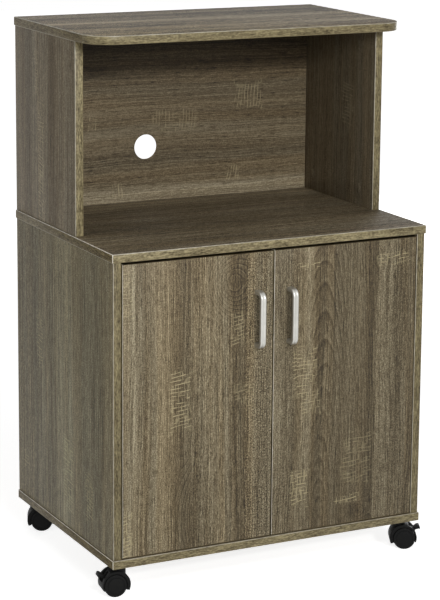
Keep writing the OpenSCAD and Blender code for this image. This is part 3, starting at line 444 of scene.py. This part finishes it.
# %% Foils, board by board
foil = {
    "left_door": oak_foil(
        "foil_left_door", "X", "Z", 3.1, heart=-0.16, depth=-0.04, rise=0.12, rings=65,
        joints=((-0.272, 0.57), (-0.155, 0.51), (-0.053, 0.49)),
        bands=((-0.280, 0.50), (-0.264, 0.64), (-0.242, 0.44), (-0.216, 0.61), (-0.200, 0.57), (-0.178, 0.40),
               (-0.156, 0.41), (-0.130, 0.51), (-0.098, 0.60), (-0.074, 0.35), (-0.054, 0.35), (-0.040, 0.55),
               (-0.018, 0.43), (0.0, 0.53)),
        knots=((-0.083, 0.530, 0.045, 0.052, 9.0, 0.04, -0.155, -0.053),
               (-0.120, 0.130, 0.055, 0.110, 13.0, 0.10, -0.215, -0.155)),
        saws=((-0.176, 0.335, 0.020, 0.055, 0.9), (-0.068, 0.450, 0.013, 0.030, 0.6),
              (-0.278, 0.108, 0.013, 0.045, 1.2), (-0.274, 0.530, 0.012, 0.050, 0.5),
              (-0.055, 0.330, 0.020, 0.020, 0.4)),
        pepper=((-0.053, 0.3, 1.0),), light=(1.03, 1.03, 1.03)),
    "right_door": oak_foil(
        "foil_right_door", "X", "Z", 11.4, heart=0.098, depth=0.004, rise=0.13, rings=200, lean=0.02,
        joints=((0.044, 0.54), (0.076, 0.48), (0.205, 0.55), (0.268, 0.51)),
        bands=((0.000, 0.62), (0.022, 0.52), (0.036, 0.48), (0.052, 0.66), (0.064, 0.60), (0.074, 0.45),
               (0.086, 0.44), (0.096, 0.54), (0.112, 0.50), (0.145, 0.42), (0.170, 0.46), (0.192, 0.34),
               (0.200, 0.50), (0.222, 0.50), (0.242, 0.37), (0.262, 0.48)), clear_zones=((0.076, 0.205),),
        knots=((0.166, 0.092, 0.028, 0.030, 9.0, 0.20, 0.076, 0.205),),
        saws=((0.062, 0.355, 0.024, 0.045, 1.0), (0.075, 0.305, 0.022, 0.025, 0.9),
              (0.055, 0.150, 0.018, 0.034, 1.2), (0.170, 0.185, 0.030, 0.050, 0.5),
              (0.150, 0.117, 0.024, 0.008, 1.2), (0.238, 0.545, 0.032, 0.012, 1.0),
              (0.068, 0.548, 0.024, 0.005, 1.0)),
        pepper=((-0.3, 0.044, 0.3), (0.205, 0.268, 0.3)), contrast=0.95, light=(0.90, 0.895, 0.89)),
    "cabinet_left_side": oak_foil(
        "foil_cabinet_left", "Y", "Z", 20.7, heart=-0.09, depth=0.03, rise=0.06, rings=60,
        joints=((-0.06, 0.54), (0.125, 0.47)),
        bands=((-0.19, 0.60), (-0.15, 0.43), (-0.09, 0.43), (-0.03, 0.56), (0.02, 0.55), (0.06, 0.46),
               (0.10, 0.51), (0.14, 0.46), (0.20, 0.49)),
        saws=((-0.010, 0.165, 0.022, 0.070, 1.0), (0.120, 0.380, 0.014, 0.050, 0.7),
              (-0.100, 0.150, 0.016, 0.040, 0.8), (0.190, 0.140, 0.012, 0.018, 0.8)), contrast=1.05,
        light=(1.01, 1.06, 1.03)),
    "cabinet_right_side": oak_foil(
        "foil_cabinet_right", "Y", "Z", 31.2, heart=0.05, depth=0.02, rise=0.08,
        joints=((-0.10, 0.54), (0.14, 0.47)),
        saws=((-0.03, 0.36, 0.025, 0.06, 0.7), (0.12, 0.20, 0.015, 0.05, 0.6)), contrast=0.9),
    "hutch_left_side": oak_foil(
        "foil_hutch_left", "Y", "Z", 42.9, heart=0.02, depth=0.06, rise=0.03, rings=60,
        joints=((0.065, 0.58), (0.145, 0.48)),
        bands=((-0.045, 0.52), (-0.025, 0.46), (0.00, 0.54), (0.035, 0.50), (0.052, 0.32), (0.068, 0.40),
               (0.085, 0.60), (0.12, 0.58), (0.145, 0.52), (0.165, 0.48), (0.21, 0.50)),
        saws=((0.108, 0.700, 0.014, 0.110, 0.9), (0.130, 0.860, 0.010, 0.040, 0.7)), contrast=0.82,
        light=(1.0, 1.0, 1.06)),
    # this board's foil is darker and cooler: painted shade for its inner face, which sits inside the hutch
    "hutch_right_side": oak_foil(
        "foil_hutch_right", "Y", "Z", 53.3, heart=0.06, depth=0.03, rise=0.05, joints=((0.10, 0.54),),
        contrast=0.7, saws=((0.05, 0.78, 0.02, 0.05, 0.5),), light=(0.70, 0.70, 0.74)),
    "top_board": oak_foil(
        "foil_top", "Y", "X", 61.0, heart=0.02, depth=0.05, rise=0.02, rings=60,
        joints=((-0.06, 0.52), (0.055, 0.58), (0.10, 0.46)),
        bands=((-0.115, 0.46), (-0.088, 0.55), (-0.060, 0.46), (-0.035, 0.55), (-0.010, 0.44), (0.020, 0.53),
               (0.050, 0.45), (0.070, 0.58), (0.100, 0.45), (0.125, 0.53), (0.150, 0.46), (0.175, 0.56),
               (0.205, 0.47)), contrast=2.7, light=(1.09, 1.03, 0.93)),
    "counter_board": oak_foil(
        "foil_counter", "Y", "X", 70.4, heart=-0.05, depth=0.06, rise=0.02, rings=60,
        joints=((-0.08, 0.46), (0.07, 0.54)), contrast=1.2, light=(0.80, 0.80, 0.84)),
    "bottom_board": oak_foil("foil_bottom", "Y", "X", 80.6, joints=((0.0, 0.54),)),
    "cabinet_shelf": oak_foil("foil_shelf", "Y", "X", 90.2, joints=((0.05, 0.46),)),
    "hutch_back_panel": oak_foil(
        "foil_hutch_back", "Z", "X", 101.5, heart=0.84, depth=0.03, rise=0.10, rings=80, middle=0.75,
        fine=0.6,
        # above 0.075 the bands darken the top of the panel under the top board: a painted shadow, laid over
        # the shadow the lamps cast there
        bands=((-0.150, 0.64), (-0.133, 0.68), (-0.118, 0.46), (-0.108, 0.42), (-0.090, 0.48), (-0.070, 0.50),
               (-0.045, 0.57), (-0.033, 0.58), (-0.020, 0.50), (-0.006, 0.39), (0.005, 0.36), (0.017, 0.47),
               (0.032, 0.40), (0.055, 0.39), (0.075, 0.35), (0.10, 0.14), (0.18, 0.0)),
        saws=((0.785, 0.160, 0.026, 0.030, 0.5), (0.745, 0.010, 0.022, 0.045, 0.4),
              (0.640, 0.128, 0.012, 0.014, 0.7), (0.622, -0.107, 0.012, 0.012, 0.8),
              (0.749, -0.158, 0.014, 0.010, 0.7)), light=(0.94, 0.93, 0.94)),
    "cabinet_back_panel": oak_foil("foil_cabinet_back", "Z", "X", 110.8, light=(0.9, 0.9, 0.9)),
}
print(len(foil), "foils")

# %% [markdown]
# ## Edge bands
# The cut edges of the boards are closed with a plastic band, a little lighter and greener than the foil and a
# shade deeper on some boards, with a fine print that runs along the edge. The ends of the flat boards get a
# darker, browner copy of the band, which is painted shade for ends that face the sides. The doors' top edges
# get a nearly black one, a painted shade that draws the dark line under the counter. The pale bevels are
# painted highlights. The foil is laid out by the room's axes, but a band turns with a round corner. So the
# mesh keeps a
# small map for it: how far along the edge a point is, and how far across it.

# %% Band, painted shade, painted arris highlights and raw board
def make_band_print():
    tree, given, out = start_group(
        "band_print", [("Place", "Vector", None)],
        [("Color", "Color"), ("Tone", "Float"), ("Height", "Float")])
    wave = ripple(tree, given["Place"], (14, 60, 1), 2)
    shift = add(tree, "ShaderNodeCombineXYZ", {"Y": calc(tree, "MULTIPLY", wave, 0.003)}).outputs[0]
    place = add(tree, "ShaderNodeVectorMath", {0: given["Place"], 1: shift}, operation="ADD").outputs[0]
    # the band's map runs along the edge first, so its noises are long in that direction
    wide = ripple(tree, place, (18, 120, 1))
    fine = ripple(tree, place, (75, 420, 2))
    short = ripple(tree, place, (240, 460, 4), 0)
    long = ripple(tree, place, (6, 20, 3))
    tone = calc(tree, "MULTIPLY_ADD", wide, 0.7, calc(tree, "MULTIPLY_ADD", fine, 1.4, 0.50))
    tone = calc(tree, "MULTIPLY_ADD", long, 0.5, calc(tree, "MULTIPLY_ADD", short, 0.7, tone))
    stops = ((0.05, rgb(72, 62, 40)), (0.5, rgb(128, 117, 87)), (0.95, rgb(170, 158, 121)))
    tree.links.new(ramp(tree, tone, stops), out["Color"])
    tree.links.new(tone, out["Tone"])
    tree.links.new(fine, out["Height"])
    return tree


band_print = make_band_print()


def edge_band_material(name, light, gloss=0.25):
    material, tree, surface = new_material(name)
    place = add(tree, "ShaderNodeUVMap", uv_map="band").outputs[0]
    printed = use_group(tree, band_print, {"Place": place})
    paint(tree, surface, mix(tree, 1.0, printed["Color"], (*light, 1), "MULTIPLY"),
          spread(tree, printed["Tone"], 0.2, 0.8, 0.5, 0.4), gloss)
    emboss(tree, surface, printed["Height"], 0.2, 0.0003)
    return material


def arris_highlight_material(name, dark, pale):
    material, tree, surface = new_material(name)
    place = add(tree, "ShaderNodeTexCoord").outputs["Object"]
    # the pale colour is a painted highlight, mottled a little
    highlight_mottle = spread(tree, noise(tree, place, (60, 60, 60), 3, 0.6), 0.38, 0.62)
    paint(tree, surface, mix(tree, highlight_mottle, rgb(*dark), rgb(*pale)), spread(tree, highlight_mottle, 0, 1, 0.5, 0.38))
    return material


def raw_board_material():
    material, tree, surface = new_material("raw_board")
    place = add(tree, "ShaderNodeTexCoord").outputs["Object"]
    chips = add(tree, "ShaderNodeTexVoronoi", {"Vector": place, "Scale": 420.0}).outputs["Color"]
    grey = add(tree, "ShaderNodeSeparateColor", {"Color": chips}).outputs[0]
    paint(tree, surface, mix(tree, grey, rgb(126, 101, 70), rgb(188, 160, 118)),
          spread(tree, grey, 0, 1, 0.8, 0.95))
    emboss(tree, surface, grey, 0.5, 0.0006)
    return material


edge_band = edge_band_material("edge_band", (1.0, 1.0, 1.0))
# a darker, browner copy of the band for the ends of the flat boards: painted shade on ends that face the sides
end_band_painted_shade = edge_band_material("end_band_painted_shade", (0.62, 0.565, 0.455), gloss=0.1)
# a nearly black band on the doors' top edges: painted shade for the gap under the counter
door_top_painted_shade = edge_band_material("door_top_painted_shade", (0.13, 0.12, 0.10), gloss=0.05)
deep_band = edge_band_material("deep_band", (0.80, 0.79, 0.76))
# pale bevels: painted highlights, where a broken edge would catch the light
band_arris_painted_highlight = arris_highlight_material("band_arris_painted_highlight", (208, 200, 182), (244, 238, 224))
panel_arris_painted_highlight = arris_highlight_material("panel_arris_painted_highlight", (158, 151, 134), (188, 181, 162))
raw_board = raw_board_material()
print("edge materials ready")

# %% [markdown]
# ## Dressing a board
# A solid board has edges as sharp as a razor, and no light ever catches them. A real one has its arris broken
# by up to a millimetre when the band is trimmed. Here the bevels that look left, and on flat boards those that
# look up and forward, are painted pale: a painted highlight that draws the cart's outline. A bevel modifier
# would bevel the screw holes too. So the board is copied, its triangles are joined into whole faces again, and
# only the edges around its outline are bevelled. Then the faces are sorted: foil on the two broad faces, band
# on the narrow ones, raw board inside the holes, painted highlights on the pale bevels, and painted shade on
# the ends of flat boards and the doors' top edges.

# %% The board's tools
NEAR = 1e-5  # metres within which two places count as one
SHARP = math.radians(32)  # an edge this sharp isn't shaded round


def copy_of(node):
    """The node's mesh with its triangles joined into whole flat faces."""
    shape = bmesh.new()
    shape.from_mesh(nodes[node].data)
    bmesh.ops.remove_doubles(shape, verts=shape.verts, dist=2e-6)
    bmesh.ops.dissolve_limit(shape, angle_limit=math.radians(0.5), verts=shape.verts, edges=shape.edges)
    for face in shape.faces:
        face.smooth = True
    return shape


def finished(shape, node, name, materials):
    """Turns the worked mesh into a piece that rides where its node rides and stands for it."""
    for edge in shape.edges:
        edge.smooth = len(edge.link_faces) == 2 and edge.calc_face_angle(0) < SHARP
    mesh = bpy.data.meshes.new(name)
    shape.to_mesh(mesh)
    shape.free()
    piece = bpy.data.objects.new(name, mesh)
    scene.collection.objects.link(piece)
    for material in materials:
        mesh.materials.append(material)
    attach(piece, body_of[node])
    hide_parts(node)
    return piece


def on_outline(point, low, high, corner_r):
    """Whether a point lies on the board's outline, seen along its thickness."""
    if min(abs(point.x - low.x), abs(point.x - high.x), abs(point.y - low.y), abs(point.y - high.y)) < NEAR:
        return True
    for side in (low.x + corner_r, high.x - corner_r):
        reach = math.hypot(point.x - side, point.y - (low.y + corner_r))
        if corner_r and abs(reach - corner_r) < 2 * NEAR and point.y < low.y + corner_r:
            return True
    return False


def run_along(point, low, high, corner_r):
    """Distance along the outline, so that the band's print follows round corners."""
    if corner_r and point.y < low.y + corner_r:
        side = -1 if point.x < 0 else 1
        centre = Vector((side * (high.x - corner_r), low.y + corner_r))
        turn = math.atan2(side * (point.x - centre.x), centre.y - point.y)
        if turn > 0:
            return side * (centre.x * side + turn * corner_r)
    return None


print("board tools ready")

# %% Sort a board's edges and faces
# two of these slots hold pale bevels, painted highlights, and two hold bands with painted shade, for the ends
# of flat boards and the doors' top edges
FOIL, BAND, ARRIS_HIGHLIGHT, RAW, END_BAND_SHADE, PANEL_ARRIS_HIGHLIGHT, DOOR_TOP_SHADE = range(7)
LEAN = 0.3  # how far a bevel's face has to look one way before it counts as looking there


def outline_edges(shape, seen, low, high, corner_r):
    """The sharp edges along a board's outline, and those through its thickness at the outline's corners."""
    rim = []
    for edge in shape.edges:
        if len(edge.link_faces) != 2 or edge.calc_face_angle(0) < math.radians(40):
            continue
        a, b = (seen(v.co) for v in edge.verts)
        outline = on_outline(a, low, high, corner_r) and on_outline(b, low, high, corner_r)
        middle = on_outline((a + b) / 2, low, high, corner_r) or corner_r
        levels = {round(a.z, 5), round(b.z, 5)}
        flat = levels <= {round(low.z, 5)} or levels <= {round(high.z, 5)}
        upright = levels == {round(low.z, 5), round(high.z, 5)}
        if outline and middle and (flat or upright):
            rim.append(edge)
    return rim


def narrow_face(normal, through, outer):
    """The material of a face that isn't one of the two broad ones. The ends of flat boards take a band with
    painted shade, and the doors' top edges a nearly black band, also painted shade.
    """
    if not outer:
        return RAW
    if through == "Z" and abs(normal.x) > 0.99:
        return END_BAND_SHADE
    return DOOR_TOP_SHADE if through == "Y" and normal.z > 0.9 else BAND


def bevel_painted_light(normal, through):
    """A bevel gets a painted highlight where it looks left and not down, and on flat boards where it looks up
    and forward. On the doors a bevel that looks up takes the painted shade of the top edge, and elsewhere a
    bevel is as plain as its board.
    """
    left, front, up = -normal.x, -normal.y, normal.z
    if left > LEAN and up > -LEAN:
        return ARRIS_HIGHLIGHT
    if up > LEAN:
        return {"X": BAND, "Y": DOOR_TOP_SHADE, "Z": PANEL_ARRIS_HIGHLIGHT if front > LEAN else BAND}[through]
    return BAND


print("sorting ready")

# %% Dress the boards
def dress_board(node, through, break_edge, corner_r):
    """through is the axis of the board's thickness. The outline is worked in a frame with that axis as Z."""
    shape = copy_of(node)
    turn = {"X": "yzx", "Y": "zxy", "Z": "xyz"}[through]

    def seen(point):
        return Vector(tuple(getattr(point, axis) for axis in turn))

    spots = [seen(v.co) for v in shape.verts]
    low = Vector(tuple(min(p[i] for p in spots) for i in range(3)))
    high = Vector(tuple(max(p[i] for p in spots) for i in range(3)))
    bmesh.ops.bevel(shape, geom=outline_edges(shape, seen, low, high, corner_r), offset=break_edge, segments=2,
                    profile=0.5, affect="EDGES", material=ARRIS_HIGHLIGHT, clamp_overlap=True)
    band_map = shape.loops.layers.uv.new("band")
    for face in shape.faces:
        if face.material_index == ARRIS_HIGHLIGHT:
            face.material_index = bevel_painted_light(face.normal, through)
            continue
        normal, level = seen(face.normal), seen(face.calc_center_median()).z
        if abs(normal.z) > 0.9:
            face.material_index = RAW if low.z + 1e-4 < level < high.z - 1e-4 else FOIL
        else:
            outer = any(on_outline(seen(v.co), low, high, corner_r) for v in face.verts)
            face.material_index = narrow_face(face.normal, through, outer)
        for loop in face.loops:
            p = seen(loop.vert.co)
            along = run_along(p, low, high, corner_r)
            if along is None:
                along = p.x if abs(normal.y) > abs(normal.x) else p.y
            loop[band_map].uv = (along, p.z)
    band = deep_band if node in deep_banded else edge_band
    # the pale bevel material is a painted highlight
    arris = panel_arris_painted_highlight if through == "X" or node == "top_board" else band_arris_painted_highlight
    return finished(shape, node, node + "_dressed",
                    [foil[node], band, arris, raw_board, end_band_painted_shade, panel_arris_painted_highlight, door_top_painted_shade])


door_arris, board_arris, front_corner_r = 0.0006, 0.001, 0.050
deep_banded = ("top_board", "left_door", "right_door", "hutch_right_side", "cabinet_left_side",
               "cabinet_right_side")
boards = {"top_board": "Z", "counter_board": "Z", "bottom_board": "Z", "cabinet_shelf": "Z",
          "hutch_left_side": "X", "hutch_right_side": "X", "cabinet_left_side": "X", "cabinet_right_side": "X",
          "left_door": "Y", "right_door": "Y"}
for node, through in boards.items():
    piece = dress_board(node, through, door_arris if through == "Y" else board_arris,
                        front_corner_r if node == "top_board" else 0.0)
    print(node, len(piece.data.polygons), "faces")

# %% [markdown]
# ## Back panels
# The back panels are thin fibre board with a foil on the room side and bare brown board behind. Their edges
# sit in grooves, so nothing is bevelled. Only the rim of the cable hole shows its cut.

# %% Back panels
def dress_back_panel(node):
    shape = copy_of(node)
    for face in shape.faces:
        face.material_index = 0 if face.normal.y < -0.9 else 1
    return finished(shape, node, node + "_dressed", [foil[node], raw_board])


for node in ("hutch_back_panel", "cabinet_back_panel"):
    print(node, len(dress_back_panel(node).data.polygons), "faces")

# %% [markdown]
# ## Metal and nylon
# The handles are satin: die-cast, ground and lacquered, so their highlights are soft and slightly drawn out
# along the grip. The hidden fittings are zinc plated, with faint mottling. The casters are black nylon with
# the fine grain of the mould and faint cloudy spots.

# %% Metal and nylon materials
def make_surface_grain():
    tree, given, out = start_group(
        "surface_grain", [("Scale", "Vector", (300, 300, 300)), ("Softness", "Float", 0.5)],
        [("Grain", "Float"), ("Cloud", "Float")])
    place = add(tree, "ShaderNodeTexCoord").outputs["Object"]
    tree.links.new(noise(tree, place, given["Scale"], 3.0, given["Softness"]), out["Grain"])
    tree.links.new(noise(tree, place, (40, 40, 40), 3, 0.6), out["Cloud"])
    return tree


surface_grain = make_surface_grain()


def grained(name, dark, pale, rough, metallic, scale, strength, gloss=0.5):
    material, tree, surface = new_material(name)
    made = use_group(tree, surface_grain, {"Scale": scale})
    paint(tree, surface, mix(tree, spread(tree, made["Cloud"], 0.35, 0.65), rgb(*dark), rgb(*pale)),
          spread(tree, made["Grain"], 0.3, 0.7, *rough), gloss)
    surface.inputs["Metallic"].default_value = metallic
    emboss(tree, surface, made["Grain"], strength, 0.0001)
    return material


# name, dark and pale colour, roughness from and to, metallic, grains per metre, depth of the grain
satin_handle = grained("satin_handle", (180, 179, 173), (190, 189, 183), (0.40, 0.50), 1.0, (900, 900, 40),
                       0.12)
zinc_plate = grained("zinc_plate", (186, 188, 190), (208, 210, 212), (0.26, 0.40), 1.0, (500, 500, 500), 0.1)
black_plate = grained("black_plate", (26, 26, 26), (34, 34, 33), (0.40, 0.55), 0.0, (700, 700, 700), 0.2)
black_nylon = grained("black_nylon", (13, 13, 13), (18, 18, 17), (0.52, 0.64), 0.0, (1400, 1400, 1400), 0.22,
                      gloss=0.12)
wheel_nylon = grained("wheel_nylon", (12, 12, 12), (16, 16, 15), (0.50, 0.62), 0.0, (900, 900, 900), 0.15,
                      gloss=0.12)
beech = grained("beech", (186, 150, 104), (208, 174, 126), (0.55, 0.7), 0.0, (300, 300, 60), 0.2)
print("metal and nylon ready")

# %% [markdown]
# ## Handles
# The handle is one bow of cast metal. Its grip isn't a plain bar: the face dips by a third of a millimetre
# between two rounded edges, and each edge keeps its own highlight up into the bend. A curve with a bevel
# shape could do this, but its section can't be kept square to the door at the feet. So the section is swept
# ring by ring, along the feet, the bends and the grip.

# %% Sweep the handles
def handle_section(wide, thick, edge_r, dip):
    """Points around the section: u runs across the door, v runs from the inner face to the outer one."""
    points = []
    round_steps, dip_steps = 6, 8
    for side_u, side_v, start in ((1, 1, 0), (-1, 1, 90), (-1, -1, 180), (1, -1, 270)):
        for step in range(round_steps + 1):
            angle = math.radians(start + 90 / round_steps * step)
            u = side_u * (wide / 2 - edge_r) + edge_r * math.cos(angle)
            v = side_v * (thick / 2 - edge_r) + edge_r * math.sin(angle)
            points.append((u, v))
        if side_u == 1 and side_v == 1:
            inner = wide / 2 - edge_r
            for step in range(1, dip_steps):
                u = inner - 2 * inner * step / dip_steps
                points.append((u, thick / 2 - dip * (1 - (u / inner) ** 2)))
    return points


def sweep_handle(node):
    low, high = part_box(node)
    centre_x, middle_z = (low.x + high.x) / 2, (low.z + high.z) / 2
    wide, door_y = high.x - low.x, high.y
    thick, bend_r = 0.008, 0.010
    out = high.y - low.y
    foot = (high.z - low.z - thick) / 2
    bar = out - thick / 2
    path = [((0.0, foot), 90.0)]
    bend_steps = 12
    for step in range(bend_steps + 1):
        angle = 90.0 - 90.0 / bend_steps * step
        turn = math.radians(angle)
        path.append(((bar - bend_r + bend_r * math.cos(turn), foot - bend_r + bend_r * math.sin(turn)), angle))
    path += [((d, -z), -a) for (d, z), a in reversed(path)]
    section = handle_section(wide, thick, edge_r=0.0026, dip=0.00035)
    shape = bmesh.new()
    rings = []
    for (distance, height), angle in path:
        turn = math.radians(angle)
        ring = []
        for u, v in section:
            d = distance + v * math.cos(turn)
            z = height + v * math.sin(turn)
            ring.append(shape.verts.new((centre_x + u, door_y - d, middle_z + z)))
        rings.append(ring)
    count = len(section)
    for first, second in zip(rings, rings[1:]):
        for i in range(count):
            shape.faces.new((first[i], first[(i + 1) % count], second[(i + 1) % count], second[i]))
    shape.faces.new(list(reversed(rings[0])))
    shape.faces.new(rings[-1])
    bmesh.ops.recalc_face_normals(shape, faces=shape.faces)
    for face in shape.faces:
        face.smooth = True
    return finished(shape, node, node + "_swept", [satin_handle])


for side in ("left", "right"):
    piece = sweep_handle(side + "_handle")
    print(piece.name, len(piece.data.polygons), "faces")

# %% [markdown]
# ## Fittings and casters
# Hinges, screws, pins and the parts of the casters keep their shape, but a cast or moulded part never has a
# sharp edge either. Here every sharp edge of a piece is broken by a tenth to four tenths of a millimetre.
# That is far too small to measure and just enough to catch the light.

# %% Dress the fittings
def dress_fitting(node, material, break_edge):
    shape = copy_of(node)
    least = math.radians(35)
    sharp = [edge for edge in shape.edges if len(edge.link_faces) == 2 and edge.calc_face_angle(0) > least]
    bmesh.ops.bevel(shape, geom=sharp, offset=break_edge, segments=2, profile=0.5, affect="EDGES",
                    clamp_overlap=True)
    for face in shape.faces:
        face.smooth = True
    return finished(shape, node, node + "_dressed", [material])


def fitting_finish(node):
    if node == "wood_dowels":
        return beech, 0.0004
    # the cam covers share that foil, with its painted shade
    if node == "cam_covers":
        return foil["hutch_right_side"], 0.0001
    if node.endswith("_wheel"):
        return wheel_nylon, 0.0002
    if node.endswith(("_housing", "_brake_lever")):
        return black_nylon, 0.0003
    if node.startswith(("front_", "rear_")) and node.endswith("_plate"):
        return black_plate, 0.0003
    return zinc_plate, 0.0001


dressed_already = set(boards) | {"hutch_back_panel", "cabinet_back_panel", "left_handle", "right_handle"}
for node in sorted(set(nodes) - dressed_already):
    material, break_edge = fitting_finish(node)
    piece = dress_fitting(node, material, break_edge)
    print(node, len(piece.data.polygons), "faces")

# %% [markdown]
# ## The floor and the white behind
# The floor is a pale sheet that fades into the backdrop. It takes the cart's shadow like any floor. For the
# camera, and for what shines in gloss, it also glows a little, so that the sheet comes out white where no
# shadow lies, without more light on the wood.

# %% Floor and world
WHITE = (1, 1, 1, 1)
ROOM_LIGHT = 0.13


def make_floor():
    shape = bmesh.new()
    bmesh.ops.create_grid(shape, x_segments=24, y_segments=24, size=9)
    mesh = bpy.data.meshes.new("studio_floor")
    shape.to_mesh(mesh)
    shape.free()
    floor = bpy.data.objects.new("studio_floor", mesh)
    scene.collection.objects.link(floor)
    material, tree, surface = new_material("pale_floor")
    surface.inputs["Base Color"].default_value = (0.78, 0.78, 0.77, 1)
    surface.inputs["Roughness"].default_value = 0.95
    surface.inputs["Specular IOR Level"].default_value = 0.0
    spot = add(tree, "ShaderNodeTexCoord").outputs["Object"]
    out = add(tree, "ShaderNodeVectorMath", {0: spot}, operation="LENGTH").outputs["Value"]
    strength = spread(tree, out, 0.5, 2.6, 0.82, 0.98)
    glow = add(tree, "ShaderNodeEmission", {"Color": WHITE, "Strength": strength})
    both = add(tree, "ShaderNodeAddShader")
    tree.links.new(surface.outputs[0], both.inputs[0])
    tree.links.new(glow.outputs[0], both.inputs[1])
    choice = add(tree, "ShaderNodeMixShader", {0: for_the_eye(tree)})
    tree.links.new(surface.outputs[0], choice.inputs[1])
    tree.links.new(both.outputs[0], choice.inputs[2])
    tree.links.new(choice.outputs[0], tree.nodes["Material Output"].inputs["Surface"])
    mesh.materials.append(material)


make_floor()
world = bpy.data.worlds.new("studio")
scene.world = world
world.use_nodes = True
sky = world.node_tree
walls = sky.nodes["Background"]
walls.inputs["Color"].default_value = WHITE
walls.inputs["Strength"].default_value = ROOM_LIGHT
white = add(sky, "ShaderNodeBackground", {"Color": WHITE, "Strength": 1.0})
choice = add(sky, "ShaderNodeMixShader", {0: for_the_eye(sky)})
sky.links.new(walls.outputs[0], choice.inputs[1])
sky.links.new(white.outputs[0], choice.inputs[2])
sky.links.new(choice.outputs[0], sky.nodes["World Output"].inputs["Surface"])
scene.view_settings.view_transform = "Standard"
print("studio ready")
